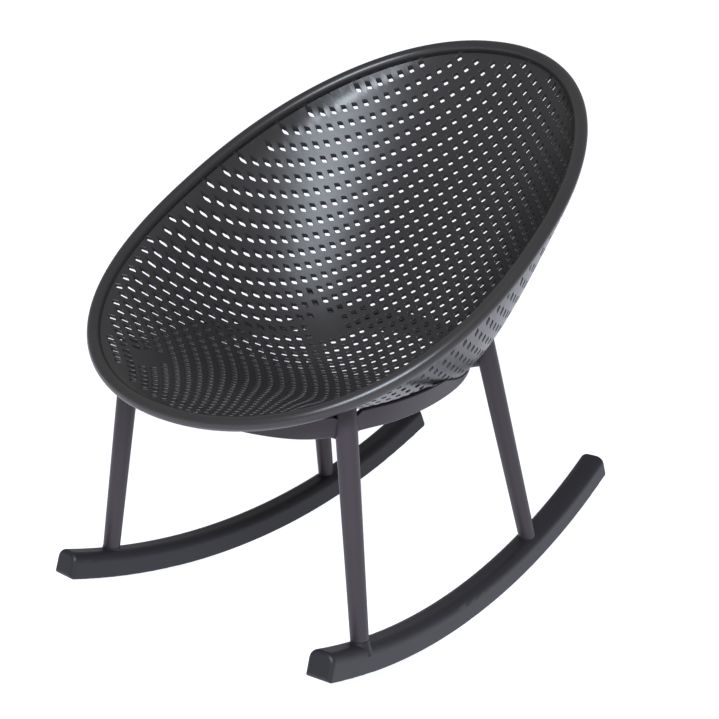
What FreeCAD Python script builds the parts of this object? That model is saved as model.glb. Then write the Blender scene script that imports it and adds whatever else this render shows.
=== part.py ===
import FreeCAD, Part
import math
import os

from FreeCAD import Placement, Rotation, Vector

# Moulded rocking chair: a perforated bucket shell with a round rim, a one-piece frame of four
# splayed legs under an oval hoop, and two curved rockers bolted up into the leg ends.
# Millimetres. X is across the chair, -Y is its front, +Z is up. The chair is drawn with its
# rocker arcs centred over DRAWN_ARC_Y, then leaned back by REST_LEAN, the way it stands empty.

# Rim of the shell: a superellipse in a plane that slopes up to the back
RIM_HALF_WIDTH = 350.0
RIM_HALF_LENGTH = 459.5
RIM_WIDTH_POWER = 2.11
RIM_LENGTH_POWER = 2.29
RIM_TAPER = -0.099
RIM_CENTRE_Y = 35.2
RIM_CENTRE_Z = 624.9
RIM_SLOPE = 29.94
BEAD_RADIUS = 11.0
RIM_POINTS = 32
RIM_ARC_FIT = 0.3

# Bowl: depth under the rim plane along the middle, as (share of half length, depth)
BOWL_DEPTHS = [
    (-1.0, 0.0), (-0.85, 50.0), (-0.65, 118.0), (-0.4, 228.0), (-0.15, 288.0),
    (0.1, 261.0), (0.35, 204.0), (0.6, 139.0), (0.85, 62.0), (1.0, 0.0),
]
BOWL_INSET = 4.8
BOWL_HALF_WIDTH = RIM_HALF_WIDTH - BOWL_INSET
BOWL_TAPER = 0.011
BOWL_POWER = 2.676
BOWL_POWER_SLOPE = -0.243
BOWL_POWER_BEND = -0.954
SHELL_WALL = 4.0
SHELL_GAP = 1.0
BOWL_MIDDLE_Y = -65.0
BOWL_MIDDLE = Vector(0.0, BOWL_MIDDLE_Y, 0.0)
BOWL_FLOOR_SHARE = 0.04
BOWL_ROWS = 36
BOWL_COLUMNS = 12
BOWL_EDGE_SHARE = 0.96
BOWL_LIP = 20.0
BOWL_EDGE_INSET = 2.0
BOWL_EDGE_DROP = 1.0
BISECTIONS = 20

# Perforations: openings on a fan of rows, staggered, drawn straight through along the mould's way out.
# Row zero crosses the middle at HOLE_ROW_ZERO; rows bow towards the front at the sides.
HOLE_WIDTH = 12.0
HOLE_HEIGHT = 9.5
HOLE_ROW_ZERO = 275.9
HOLE_ROW_PITCH = 23.32
HOLE_ROW_CROWDING = -0.017
HOLE_ROW_BOW = -0.248
HOLE_PITCH = 30.6
HOLE_PITCH_GROWTH = 0.4
HOLE_FIRST_ROW = -26
HOLE_LAST_ROW = 7
HOLE_MOST_ACROSS = 14
HOLE_STEP = 2
HOLE_RIM_SHARE = 0.88
HOLE_DRAW = 60.0
HOLE_REACH_IN = 26.0
BLANK_RADIUS = 30.0

# Rockers: an arched section turned about the arc's centre, toed in towards the back
ROCKER_ARC_RADIUS = 1222.0
DRAWN_ARC_Y = 12.5
ROCKER_FRONT_ANGLE = 17.12
ROCKER_REAR_ANGLE = 24.18
ROCKER_WIDTH = 44.8
ROCKER_HEIGHT = 42.2
ROCKER_TOP_RADIUS = 15.0
ROCKER_SOLE_RADIUS = 2.0
ROCKER_END_RADIUS = 7.0
ROCKER_X = 241.8
ROCKER_TOE = 4.45
REST_FLAT = 60.0
REST_LEAN = 3.0

# Legs: the centre of each lower end, and the centre again where the leg meets the hoop
FRONT_FOOT = (262.9, -242.6, 75.1)
FRONT_SHOULDER = (223.2, -230.2, 380.0)
REAR_FOOT = (223.1, 259.1, 64.8)
REAR_SHOULDER = (187.2, 178.2, 380.0)
LEG_FOOT_RADIUS = 14.0
LEG_TOP_RADIUS = 16.5
LEG_OVERRUN = 14.0

# Hoop: the oval band that ties the legs, as points along its right half from front to back
HOOP_POINTS = [
    (0.0, -305.0), (105.0, -299.0), (190.0, -262.0), (230.0, -185.0), (239.0, -95.0),
    (226.0, 0.0), (196.0, 90.0), (150.0, 164.0), (80.0, 211.0), (0.0, 226.0),
]
HOOP_BOTTOM = 372.0
HOOP_HEIGHT = 34.0
HOOP_WALL = 10.0
HOOP_FLARE = 8.0
HOOP_STATIONS = 48

# Seat pads: where the shell's blank patches sit, in the rim plane's own coordinates
REAR_PAD = (137.0, -15.0)
FRONT_PAD = (178.0, -338.0)
PAD_RADIUS = 19.0
PAD_THICKNESS = 9.0
PAD_CLEARANCE = 1.0
BOSS_RADIUS = 16.0
BOSS_HEIGHT = 9.0
ARM_RADIUS = 10.0
ARM_STOP = 14.0

# Screws that hold the shell, from below
SCREW_RADIUS = 3.0
SCREW_LENGTH = 20.0
SCREW_HEAD_RADIUS = 5.0
SCREW_HEAD_HEIGHT = 4.5
SCREW_WASHER_RADIUS = 8.0
SCREW_WASHER_THICKNESS = 1.6
SCREW_ACCESS = 30.0
HEX_SHARE = 0.5

# Bolts that hold the rockers, from below
BOLT_RADIUS = 4.0
BOLT_HEAD_RADIUS = 6.5
BOLT_HEAD_HEIGHT = 6.0
BOLT_SEAT_DEPTH = 22.0
BOLT_WASHER_RADIUS = 8.5
BOLT_WASHER_THICKNESS = 1.6
COUNTERBORE_RADIUS = 10.0
SPIGOT_RADIUS = 8.5
SPIGOT_HEIGHT = 14.0
COLLAR_SPREAD = 5.0
INSERT_RADIUS = 6.0
INSERT_LENGTH = 18.0
FIT_GAP = 0.1
THREAD_GAP = 0.05
OVERCUT = 1.0

# Origin: under the middle of the chair's length
ORIGIN_Y = 17.5


def vec(point):
    return Vector(*point)


def mirrored(point):
    return (-point[0], point[1], point[2])


def signed_power(value, power):
    return math.copysign(abs(value) ** power, value)


def rim_point(turn, inset=0.0):
    """A point of the rim's middle line, in the rim plane, at a turn counted from the front."""
    share = -signed_power(math.cos(turn), 2.0 / RIM_LENGTH_POWER)
    across = signed_power(math.sin(turn), 2.0 / RIM_WIDTH_POWER)
    half_width = (RIM_HALF_WIDTH - inset) * (1.0 + RIM_TAPER * share)
    return Vector(half_width * across, (RIM_HALF_LENGTH - inset) * share, 0.0)


def depth_curve():
    places = [share * RIM_HALF_LENGTH for share, depth in BOWL_DEPTHS]
    points = [Vector(place, depth[1], 0.0) for place, depth in zip(places, BOWL_DEPTHS)]
    curve = Part.BSplineCurve()
    curve.interpolate(Points=points, Parameters=places)
    return curve


MIDDLE_DEPTH = depth_curve()


def half_width(v, widest, taper):
    share = max(-1.0, min(1.0, v / RIM_HALF_LENGTH))
    cosine = abs(share) ** (RIM_LENGTH_POWER / 2.0)
    sine = math.sqrt(max(0.0, 1.0 - cosine * cosine))
    return widest * sine ** (2.0 / RIM_WIDTH_POWER) * (1.0 + taper * share)


def rim_half_width(v):
    return half_width(v, RIM_HALF_WIDTH, RIM_TAPER)


def bowl_half_width(v):
    return half_width(v, BOWL_HALF_WIDTH, BOWL_TAPER)


def bowl_height(u, v):
    """Height of the seating face over the rim plane, always negative inside the rim."""
    share = v / RIM_HALF_LENGTH
    power = BOWL_POWER + BOWL_POWER_SLOPE * share + BOWL_POWER_BEND * share * share
    reach = min(1.0, abs(u) / max(bowl_half_width(v), 1e-6))
    return -MIDDLE_DEPTH.value(v).y * (1.0 - reach ** power)


def bowl_normal(u, v):
    """Outward direction, away from the sitter."""
    step = 0.5
    slope_u = (bowl_height(u + step, v) - bowl_height(u - step, v)) / (2.0 * step)
    slope_v = (bowl_height(u, v + step) - bowl_height(u, v - step)) / (2.0 * step)
    return Vector(slope_u, slope_v, -1.0).normalize()


def bowl_point(u, v, depth=0.0):
    face = Vector(u, v, bowl_height(u, v))
    return face + bowl_normal(u, v) * depth


def rim_plane():
    centre = Vector(0.0, RIM_CENTRE_Y, RIM_CENTRE_Z)
    return Placement(centre, Rotation(Vector(1, 0, 0), RIM_SLOPE))


def lip_share(edge):
    """How far from the bowl's middle to the rim the formula holds, before the wall flares out."""
    low, high = 0.5, 1.0 - BOWL_LIP / (edge - BOWL_MIDDLE).Length
    for step in range(BISECTIONS):
        share = 0.5 * (low + high)
        place = BOWL_MIDDLE + (edge - BOWL_MIDDLE) * share
        inside = abs(place.x) < bowl_half_width(place.y) * BOWL_EDGE_SHARE
        if inside:
            low = share
        else:
            high = share
    return low


def bowl_profile(turn, depth):
    """Points from the bowl's flat middle out to the rim, on a face at a depth under the seat."""
    edge = rim_point(turn)
    reach = lip_share(edge)
    floor = -MIDDLE_DEPTH.value(BOWL_MIDDLE.y).y - depth
    start = BOWL_MIDDLE + (edge - BOWL_MIDDLE) * BOWL_FLOOR_SHARE
    points = [Vector(start.x, start.y, floor)]
    for column in range(1, BOWL_COLUMNS):
        share = reach * math.sin(0.5 * math.pi * column / (BOWL_COLUMNS - 1))
        if share > 2.0 * BOWL_FLOOR_SHARE:
            place = BOWL_MIDDLE + (edge - BOWL_MIDDLE) * share
            points.append(bowl_point(place.x, place.y, depth))
    rim = rim_point(turn, BOWL_EDGE_INSET)
    points.append(Vector(rim.x, rim.y, -depth - BOWL_EDGE_DROP))
    return points


def bowl_skin(depth):
    """One smooth face through profiles taken all round the bowl."""
    rows = [bowl_profile(2.0 * math.pi * row / BOWL_ROWS, depth) for row in range(BOWL_ROWS + 1)]
    surface = Part.BSplineSurface()
    surface.interpolate(rows)
    return surface


def closed_body(faces):
    body = Part.makeShell(faces)
    body.sewShape()
    solid = Part.makeSolid(body)
    if solid.Volume < 0:
        solid.reverse()
    return solid


def bowl_edges(skin):
    """The skin's closed edges: round the flat middle and along the rim."""
    u_first, u_last, v_first, v_last = skin.bounds()
    return skin.vIso(v_first).toShape(), skin.vIso(v_last).toShape()


def bowl_wall():
    inner = bowl_skin(0.0)
    outer = bowl_skin(SHELL_WALL)
    inner_floor, inner_rim = bowl_edges(inner)
    outer_floor, outer_rim = bowl_edges(outer)
    faces = [inner.toShape(), outer.toShape(), Part.makeRuledSurface(inner_rim, outer_rim)]
    faces += [Part.Face(Part.Wire(edge)) for edge in (inner_floor, outer_floor)]
    return closed_body(faces)


def rim_bead():
    turns = [2.0 * math.pi * index / RIM_POINTS for index in range(RIM_POINTS)]
    curve = Part.BSplineCurve()
    curve.interpolate(Points=[rim_point(turn) for turn in turns], PeriodicFlag=True)
    arcs = curve.toBiArcs(RIM_ARC_FIT)
    path = Part.Wire([arc.toShape() for arc in arcs])
    start = arcs[0].StartPoint
    along = arcs[0].tangent(arcs[0].FirstParameter)[0]
    section = Part.Wire(Part.makeCircle(BEAD_RADIUS, start, along))
    return Part.Solid(path.makePipe(Part.Face(section)))


def cylinder(radius, height, base, axis):
    return Part.makeCylinder(radius, height, base, axis)


def pad_frame(pad, side):
    """Where a pad lies: the outer face of the shell there, and the way out of it."""
    u, v = side * pad[0], pad[1]
    plane = rim_plane()
    outer = plane.multVec(bowl_point(u, v, SHELL_WALL))
    out = plane.Rotation.multVec(bowl_normal(u, v))
    return outer, out


def pads():
    return [(name, end, side) for name, end in (("front", FRONT_PAD), ("rear", REAR_PAD))
            for side in (-1, 1)]


def hole_place(across, row):
    """The middle of an opening in the rim plane, from its place across and its row."""
    u = across * (HOLE_PITCH + HOLE_PITCH_GROWTH * row)
    bow = HOLE_ROW_BOW * across * across
    v = HOLE_ROW_ZERO + HOLE_ROW_PITCH * row + HOLE_ROW_CROWDING * row * row + bow
    return u, v


def rim_share(u, v):
    """Below one inside the rim's middle line, and one on it."""
    across = abs(u) / (RIM_HALF_WIDTH * (1.0 + RIM_TAPER * v / RIM_HALF_LENGTH))
    return across ** RIM_WIDTH_POWER + abs(v / RIM_HALF_LENGTH) ** RIM_LENGTH_POWER


def over_pad(u, v):
    return any(math.hypot(u - side * pad[0], v - pad[1]) < BLANK_RADIUS for name, pad, side in pads())


def perforations():
    """Every second opening of each row; the ones between them are left plain here."""
    openings = []
    for row in range(HOLE_FIRST_ROW, HOLE_LAST_ROW + 1):
        first = row % HOLE_STEP - HOLE_STEP * HOLE_MOST_ACROSS // 2
        for across in range(first, HOLE_MOST_ACROSS + 1, HOLE_STEP):
            u, v = hole_place(across, row)
            if rim_share(u, v) < HOLE_RIM_SHARE and not over_pad(u, v):
                top = bowl_height(u, v) + HOLE_REACH_IN
                corner = Vector(u - HOLE_WIDTH / 2.0, v - HOLE_HEIGHT / 2.0, top - HOLE_DRAW)
                openings.append(Part.makeBox(HOLE_WIDTH, HOLE_HEIGHT, HOLE_DRAW, corner))
    return openings


def seat_shell():
    """Wall, rim and screw bosses in one piece, drawn in the rim plane's own coordinates."""
    bosses = []
    holes = perforations()
    depth = SCREW_LENGTH - PAD_THICKNESS - SCREW_WASHER_THICKNESS + FIT_GAP
    for name, pad, side in pads():
        u, v = side * pad[0], pad[1]
        out = bowl_normal(u, v)
        start = bowl_point(u, v, SHELL_WALL / 2.0)
        bosses.append(cylinder(BOSS_RADIUS, BOSS_HEIGHT + SHELL_WALL / 2.0, start, out))
        mouth = bowl_point(u, v, SHELL_WALL + BOSS_HEIGHT + OVERCUT)
        holes.append(cylinder(SCREW_RADIUS + THREAD_GAP, depth + OVERCUT, mouth, -out))
    shell = bowl_wall().fuse([rim_bead()] + bosses)
    shell = shell.cut(Part.makeCompound(holes))
    shell.Placement = rim_plane()
    return shell


def hoop_middle():
    right = [Vector(x, y, 0.0) for x, y in HOOP_POINTS]
    left = [Vector(-p.x, p.y, 0.0) for p in reversed(right[1:-1])]
    curve = Part.BSplineCurve()
    curve.interpolate(Points=right + left, PeriodicFlag=True)
    return curve


def hoop_line(offset, height):
    """The hoop's middle line moved outwards, as one closed edge at a height."""
    middle = hoop_middle()
    first, last = middle.FirstParameter, middle.LastParameter
    points = []
    for index in range(HOOP_STATIONS):
        place = first + (last - first) * index / HOOP_STATIONS
        along = middle.tangent(place)[0]
        outward = Vector(along.y, -along.x, 0.0)
        points.append(middle.value(place) + outward * offset + Vector(0, 0, height))
    line = Part.BSplineCurve()
    line.interpolate(Points=points, PeriodicFlag=True)
    return Part.Wire(line.toShape())


def hoop():
    """The oval band, leaning out towards its top."""
    half = HOOP_WALL / 2.0
    bodies = []
    for offset in (half, -half):
        low = hoop_line(offset, HOOP_BOTTOM)
        high = hoop_line(offset + HOOP_FLARE, HOOP_BOTTOM + HOOP_HEIGHT)
        bodies.append(Part.makeLoft([low, high], True, True))
    return bodies[0].cut(bodies[1])


def leg_axis(foot, shoulder):
    return (vec(shoulder) - vec(foot)).normalize()


def leg(foot, shoulder):
    axis = leg_axis(foot, shoulder)
    length = (vec(shoulder) - vec(foot)).Length + LEG_OVERRUN
    body = Part.makeCone(LEG_FOOT_RADIUS, LEG_TOP_RADIUS, length, vec(foot), axis)
    crown = Part.makeSphere(LEG_TOP_RADIUS, vec(foot) + axis * length)
    return body.fuse(crown)


def legs():
    found = []
    for name, foot, shoulder, pad in (
        ("front", FRONT_FOOT, FRONT_SHOULDER, FRONT_PAD),
        ("rear", REAR_FOOT, REAR_SHOULDER, REAR_PAD),
    ):
        found.append((name + "_left", mirrored(foot), mirrored(shoulder), pad, -1))
        found.append((name + "_right", foot, shoulder, pad, 1))
    return found


def leg_frame():
    """Hoop, legs, arms and pads in one piece, kept clear of the shell."""
    room = shell_room()
    frame = hoop().cut(room)
    for name, foot, shoulder, pad, side in legs():
        outer, out = pad_frame(pad, side)
        face = outer + out * BOSS_HEIGHT
        crown = vec(shoulder) + leg_axis(foot, shoulder) * LEG_OVERRUN
        reach = face + out * (PAD_THICKNESS / 2.0) - crown
        arm = cylinder(ARM_RADIUS, reach.Length - ARM_STOP, crown, reach)
        frame = frame.fuse(leg(foot, shoulder).fuse(arm).cut(room))
    for name, foot, shoulder, pad, side in legs():
        outer, out = pad_frame(pad, side)
        face = outer + out * BOSS_HEIGHT
        frame = frame.fuse(cylinder(PAD_RADIUS, PAD_THICKNESS, face, out))
        frame = frame.cut(cylinder(PAD_RADIUS + PAD_CLEARANCE, BOSS_HEIGHT + SHELL_WALL, face, -out))
        screw_hole = cylinder(SCREW_RADIUS + FIT_GAP, PAD_THICKNESS + OVERCUT, face - out * OVERCUT, out)
        access = cylinder(SCREW_WASHER_RADIUS + OVERCUT, SCREW_ACCESS, face + out * PAD_THICKNESS, out)
        frame = frame.cut(screw_hole).cut(access)
    for name, foot, shoulder, pad, side in legs():
        axis = leg_axis(foot, shoulder)
        start = vec(foot) - axis * OVERCUT
        socket = cylinder(SPIGOT_RADIUS + FIT_GAP, SPIGOT_HEIGHT + FIT_GAP + OVERCUT, start, axis)
        bore = cylinder(INSERT_RADIUS + THREAD_GAP, SPIGOT_HEIGHT + INSERT_LENGTH + OVERCUT, start, axis)
        frame = frame.cut(socket).cut(bore)
    return frame


def shell_room():
    """The space that the shell takes, with a small gap, filled up to the rim."""
    skin = bowl_skin(SHELL_WALL + SHELL_GAP)
    faces = [skin.toShape()]
    faces += [Part.Face(Part.Wire(edge)) for edge in bowl_edges(skin)]
    room = closed_body(faces)
    room.Placement = rim_plane()
    return room


def rocker_section():
    """Flat sole, upright sides and an arched top, drawn in the plane x = 0 of the arc."""
    half = ROCKER_WIDTH / 2.0
    top = ROCKER_HEIGHT
    low = ROCKER_SOLE_RADIUS
    high = ROCKER_TOP_RADIUS
    diagonal = math.sqrt(0.5)

    def at(x, z):
        return Vector(x, 0.0, z)

    edges = [
        Part.LineSegment(at(-half + low, 0), at(half - low, 0)).toShape(),
        Part.Arc(at(half - low, 0), at(half - low + low * diagonal, low - low * diagonal),
                 at(half, low)).toShape(),
        Part.LineSegment(at(half, low), at(half, top - high)).toShape(),
        Part.Arc(at(half, top - high), at(half - high + high * diagonal, top - high + high * diagonal),
                 at(half - high, top)).toShape(),
        Part.LineSegment(at(half - high, top), at(-half + high, top)).toShape(),
        Part.Arc(at(-half + high, top), at(-half + high - high * diagonal, top - high + high * diagonal),
                 at(-half, top - high)).toShape(),
        Part.LineSegment(at(-half, top - high), at(-half, low)).toShape(),
        Part.Arc(at(-half, low), at(-half + low - low * diagonal, low - low * diagonal),
                 at(-half + low, 0)).toShape(),
    ]
    return Part.Wire(edges)


def rocker_beam(side):
    face = Part.Face(rocker_section())
    centre = Vector(0.0, 0.0, ROCKER_ARC_RADIUS)
    face.rotate(centre, Vector(1, 0, 0), -ROCKER_FRONT_ANGLE)
    beam = face.revolve(centre, Vector(1, 0, 0), ROCKER_FRONT_ANGLE + ROCKER_REAR_ANGLE)
    ends = []
    for edge in beam.Edges:
        middle = edge.CenterOfMass
        upright = abs(abs(middle.x) - ROCKER_WIDTH / 2.0) < 0.01 and edge.Length < ROCKER_HEIGHT
        if upright:
            ends.append(edge)
    beam = beam.makeFillet(ROCKER_END_RADIUS, ends)
    beam.translate(Vector(0.0, DRAWN_ARC_Y, 0.0))
    beam.rotate(Vector(0, 0, 0), Vector(0, 0, 1), side * ROCKER_TOE)
    beam.translate(Vector(side * ROCKER_X, 0.0, 0.0))
    return beam


def rocker(side):
    """One rocker with its two collars, spigots and bolt holes."""
    body = rocker_beam(side)
    for name, foot, shoulder, pad, leg_side in legs():
        if leg_side != side:
            continue
        axis = leg_axis(foot, shoulder)
        base = vec(foot)
        depth = ROCKER_HEIGHT / 2.0
        collar = Part.makeCone(LEG_FOOT_RADIUS + COLLAR_SPREAD, LEG_FOOT_RADIUS, depth,
                               base - axis * depth, axis)
        spigot = cylinder(SPIGOT_RADIUS, SPIGOT_HEIGHT, base, axis)
        body = body.fuse(collar).fuse(spigot)
        hole = cylinder(BOLT_RADIUS + 2 * FIT_GAP, SPIGOT_HEIGHT + BOLT_SEAT_DEPTH + 2.0 * OVERCUT,
                        base - axis * (BOLT_SEAT_DEPTH + OVERCUT), axis)
        recess = cylinder(COUNTERBORE_RADIUS, 2.0 * ROCKER_HEIGHT, base - axis * BOLT_SEAT_DEPTH, -axis)
        body = body.cut(hole).cut(recess)
    return body


def washer(radius, hole, thickness, seat, out):
    ring = cylinder(radius, thickness, seat, out)
    return ring.cut(cylinder(hole, thickness + 2.0 * OVERCUT, seat - out * OVERCUT, out))


def hexagon(radius, depth, base, axis):
    corners = [Vector(radius * math.cos(math.pi * k / 3.0), radius * math.sin(math.pi * k / 3.0), 0.0)
               for k in range(7)]
    prism = Part.Face(Part.makePolygon(corners)).extrude(Vector(0, 0, depth))
    prism.Placement = Placement(base, Rotation(Vector(0, 0, 1), axis))
    return prism


def socket_screw(radius, length, head_radius, head_height, seat, into):
    """A cap screw: its head lies under the seat and its shank runs into the joint."""
    head = cylinder(head_radius, head_height, seat, -into)
    shank = cylinder(radius, length, seat, into)
    mouth = seat - into * (head_height + OVERCUT)
    drive = hexagon(head_radius * HEX_SHARE, head_height * HEX_SHARE + OVERCUT, mouth, into)
    return head.fuse(shank).cut(drive)


def shell_screw(pad, side):
    outer, out = pad_frame(pad, side)
    seat = outer + out * (BOSS_HEIGHT + PAD_THICKNESS + SCREW_WASHER_THICKNESS)
    return socket_screw(SCREW_RADIUS, SCREW_LENGTH, SCREW_HEAD_RADIUS, SCREW_HEAD_HEIGHT, seat, -out)


def shell_washer(pad, side):
    outer, out = pad_frame(pad, side)
    seat = outer + out * (BOSS_HEIGHT + PAD_THICKNESS)
    return washer(SCREW_WASHER_RADIUS, SCREW_RADIUS + FIT_GAP, SCREW_WASHER_THICKNESS, seat, out)


def rocker_bolt(foot, shoulder):
    axis = leg_axis(foot, shoulder)
    seat = vec(foot) - axis * (BOLT_SEAT_DEPTH + BOLT_WASHER_THICKNESS)
    length = BOLT_WASHER_THICKNESS + BOLT_SEAT_DEPTH + SPIGOT_HEIGHT + INSERT_LENGTH - 2.0
    return socket_screw(BOLT_RADIUS, length, BOLT_HEAD_RADIUS, BOLT_HEAD_HEIGHT, seat, axis)


def rocker_washer(foot, shoulder):
    axis = leg_axis(foot, shoulder)
    seat = vec(foot) - axis * BOLT_SEAT_DEPTH
    return washer(BOLT_WASHER_RADIUS, BOLT_RADIUS + FIT_GAP, BOLT_WASHER_THICKNESS, seat, -axis)


def leg_insert(foot, shoulder):
    axis = leg_axis(foot, shoulder)
    start = vec(foot) + axis * (SPIGOT_HEIGHT + FIT_GAP)
    sleeve = cylinder(INSERT_RADIUS, INSERT_LENGTH - FIT_GAP, start, axis)
    bore = cylinder(BOLT_RADIUS + THREAD_GAP, INSERT_LENGTH + 2.0 * OVERCUT, start - axis * OVERCUT, axis)
    return sleeve.cut(bore)


def at_rest(shape):
    """Lean the drawn shape back about the rocker arc's centre, to where the chair stands."""
    placed = shape.copy()
    placed.rotate(Vector(0, DRAWN_ARC_Y, ROCKER_ARC_RADIUS), Vector(1, 0, 0), -REST_LEAN)
    flat = REST_FLAT * REST_FLAT / (8.0 * ROCKER_ARC_RADIUS)
    placed.translate(Vector(0, -ORIGIN_Y, -flat))
    return placed


def with_rest_flat(shape):
    """The sole is flat for a short length where the empty chair stands."""
    size = 2.0 * ROCKER_ARC_RADIUS
    ground = Part.makeBox(size, size, size, Vector(-size / 2.0, -size / 2.0, -size))
    return shape.cut(ground)


def write(name, shape):
    solids = shape.Solids
    clean = solids[0] if len(solids) == 1 else Part.makeCompound(solids)
    clean.exportStep("parts/" + name + ".step")
    box = clean.optimalBoundingBox()
    print(name, len(solids), "solid, volume", round(clean.Volume), "valid", clean.isValid(),
          "y", round(box.YMin, 1), round(box.YMax, 1), "z", round(box.ZMin, 1), round(box.ZMax, 1))
    return clean


def main():
    os.makedirs("parts", exist_ok=True)
    write("seat_shell", at_rest(seat_shell()))
    write("leg_frame", at_rest(leg_frame()))
    for name, side in (("rocker_left", -1), ("rocker_right", 1)):
        write(name, with_rest_flat(at_rest(rocker(side))))
    for name, foot, shoulder, pad, side in legs():
        write("rocker_bolt_" + name, at_rest(rocker_bolt(foot, shoulder)))
        write("rocker_washer_" + name, at_rest(rocker_washer(foot, shoulder)))
        write("leg_insert_" + name, at_rest(leg_insert(foot, shoulder)))
        write("shell_screw_" + name, at_rest(shell_screw(pad, side)))
        write("shell_washer_" + name, at_rest(shell_washer(pad, side)))


main()
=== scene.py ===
import bmesh
import bpy
import math

from mathutils import Matrix, Vector


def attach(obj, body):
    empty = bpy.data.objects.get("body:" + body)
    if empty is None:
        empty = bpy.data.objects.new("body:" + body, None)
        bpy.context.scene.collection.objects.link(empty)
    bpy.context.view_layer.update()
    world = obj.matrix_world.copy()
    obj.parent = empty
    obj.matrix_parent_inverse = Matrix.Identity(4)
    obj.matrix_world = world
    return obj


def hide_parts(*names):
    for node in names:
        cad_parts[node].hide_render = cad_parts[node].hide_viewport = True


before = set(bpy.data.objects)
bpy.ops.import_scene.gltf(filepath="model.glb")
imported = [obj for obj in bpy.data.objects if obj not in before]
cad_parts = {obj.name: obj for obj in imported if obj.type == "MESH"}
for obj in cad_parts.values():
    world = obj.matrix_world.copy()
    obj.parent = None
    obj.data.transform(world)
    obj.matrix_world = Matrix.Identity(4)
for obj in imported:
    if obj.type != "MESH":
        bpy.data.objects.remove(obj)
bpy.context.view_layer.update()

# The chair's driving sizes, in metres, as the part's source has them in millimetres
RIM_HALF_WIDTH = 0.350
RIM_HALF_LENGTH = 0.4595
RIM_WIDTH_POWER = 2.11
RIM_LENGTH_POWER = 2.29
RIM_TAPER = -0.099
RIM_CENTRE = Vector((0.0, 0.0352, 0.6249))
RIM_SLOPE = math.radians(29.94)
BEAD_RADIUS = 0.011
BOWL_DEPTHS = [
    (-1.0, 0.0), (-0.85, 0.050), (-0.65, 0.118), (-0.4, 0.228), (-0.15, 0.288),
    (0.1, 0.261), (0.35, 0.204), (0.6, 0.139), (0.85, 0.062), (1.0, 0.0),
]
BOWL_HALF_WIDTH = 0.3452
BOWL_TAPER = 0.011
BOWL_POWER = 2.676
BOWL_POWER_SLOPE = -0.243
BOWL_POWER_BEND = -0.954
BOWL_MIDDLE = Vector((0.0, -0.065, 0.0))
BOWL_EDGE_SHARE = 0.96
BOWL_LIP = 0.020
SHELL_WALL_SOLID = 0.004
REAR_PAD = (0.137, -0.015)
FRONT_PAD = (0.178, -0.338)
BOSS_RADIUS = 0.016
BOSS_HEIGHT = 0.009
ROCKER_ARC_RADIUS = 1.222
DRAWN_ARC_Y = 0.0125
REST_FLAT = 0.060
REST_LEAN = math.radians(3.0)
ORIGIN_Y = 0.0175

# Legs in the drawn pose: each one's lower end and the place where it meets the hoop
FRONT_LEG = (Vector((0.2629, -0.2426, 0.0751)), Vector((0.2232, -0.2302, 0.3800)))
REAR_LEG = (Vector((0.2231, 0.2591, 0.0648)), Vector((0.1872, 0.1782, 0.3800)))
LEG_FOOT_RADIUS = 0.014
LEG_TOP_RADIUS = 0.0165
LEG_OVERRUN = 0.060
LEG_CROWN = 0.014
SPIGOT_RADIUS = 0.0086
SPIGOT_HEIGHT = 0.0141
INSERT_RADIUS = 0.00605
INSERT_LENGTH = 0.018

# Hoop: the right half of its middle line from front to rear, and its band's section
HOOP_POINTS = [
    (0.0, -0.305), (0.105, -0.299), (0.190, -0.262), (0.230, -0.185), (0.239, -0.095),
    (0.226, 0.0), (0.196, 0.090), (0.150, 0.164), (0.080, 0.211), (0.0, 0.226),
]
HOOP_BOTTOM = 0.374
HOOP_SIDE_RISE = 0.009
HOOP_RISE_FROM, HOOP_RISE_TO = -0.30, -0.18
HOOP_HALF_WALL = 0.005
HOOP_FLARE = 0.24
HOOP_HEIGHT = 0.035
HOOP_FILLET = 0.009
HOOP_BEVEL = 0.0015
SHELL_GAP = 0.0015

# Pads under the shell's bosses, and the arms that carry them
PAD_RADIUS = 0.019
PAD_THICKNESS = 0.009
PAD_HOLE = 0.0032
ARM_RADIUS = 0.010
ARM_OVERLAP = 0.005
EDGE_BEVEL = 0.001

# Perforations: a staggered fan of diamonds, as polynomials in the row number
SHELL_WALL = 0.0055
HOLE_PITCH = (0.030615, 0.000423, -1.5e-6)
HOLE_ROWS = (0.27098, 0.024162, -1.78e-5, -1.52e-6)
HOLE_ROW_BOW = -0.000201
HOLE_FIRST_ROW = -33.0
HOLE_LAST_ROW = 9.0
HOLE_MOST_ACROSS = 18
HOLE_WIDTH = 0.0132
HOLE_HEIGHT = 0.0099
HOLE_CORNER = 0.18
HOLE_CHAMFER = 0.0006
HOLE_RIM_SHARE = 0.94
HOLE_FRONT_FROM = -0.15
HOLE_FRONT_MARGIN = 0.25
BLANK_RADIUS = 0.024
CELL_CORNER = 0.25
ROUND_TIP = 0.586

# The sheet of diamonds: how far it is laid, cut and pulled in, and how it is dropped on the bowl
LAY_SHARE = 1.5
CUT_SHARE = 1.06
PULL_POWER = 2.2
DROP_FROM = 0.5
DROP_LENGTH = 2.0
STEEPEST_WALL = 0.3
MERGE_DISTANCE = 0.0002

# How finely the round and curved pieces are divided
BOWL_TURNS, BOWL_SAMPLES = 144, 48
BOWL_KNOTS = 11
BOWL_OVERRUN = 1.03
LIP_STEPS = 20
BEAD_STATIONS, BEAD_POINTS = 192, 20
HOOP_STATIONS = 216
LEG_STEPS = 8
REACH_STEPS = 80
ROUND_POINTS = 40
SLOPE_STEP = 0.0005
TURN_STEP = 0.01
SHARP_ANGLE = math.radians(35.0)

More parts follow.
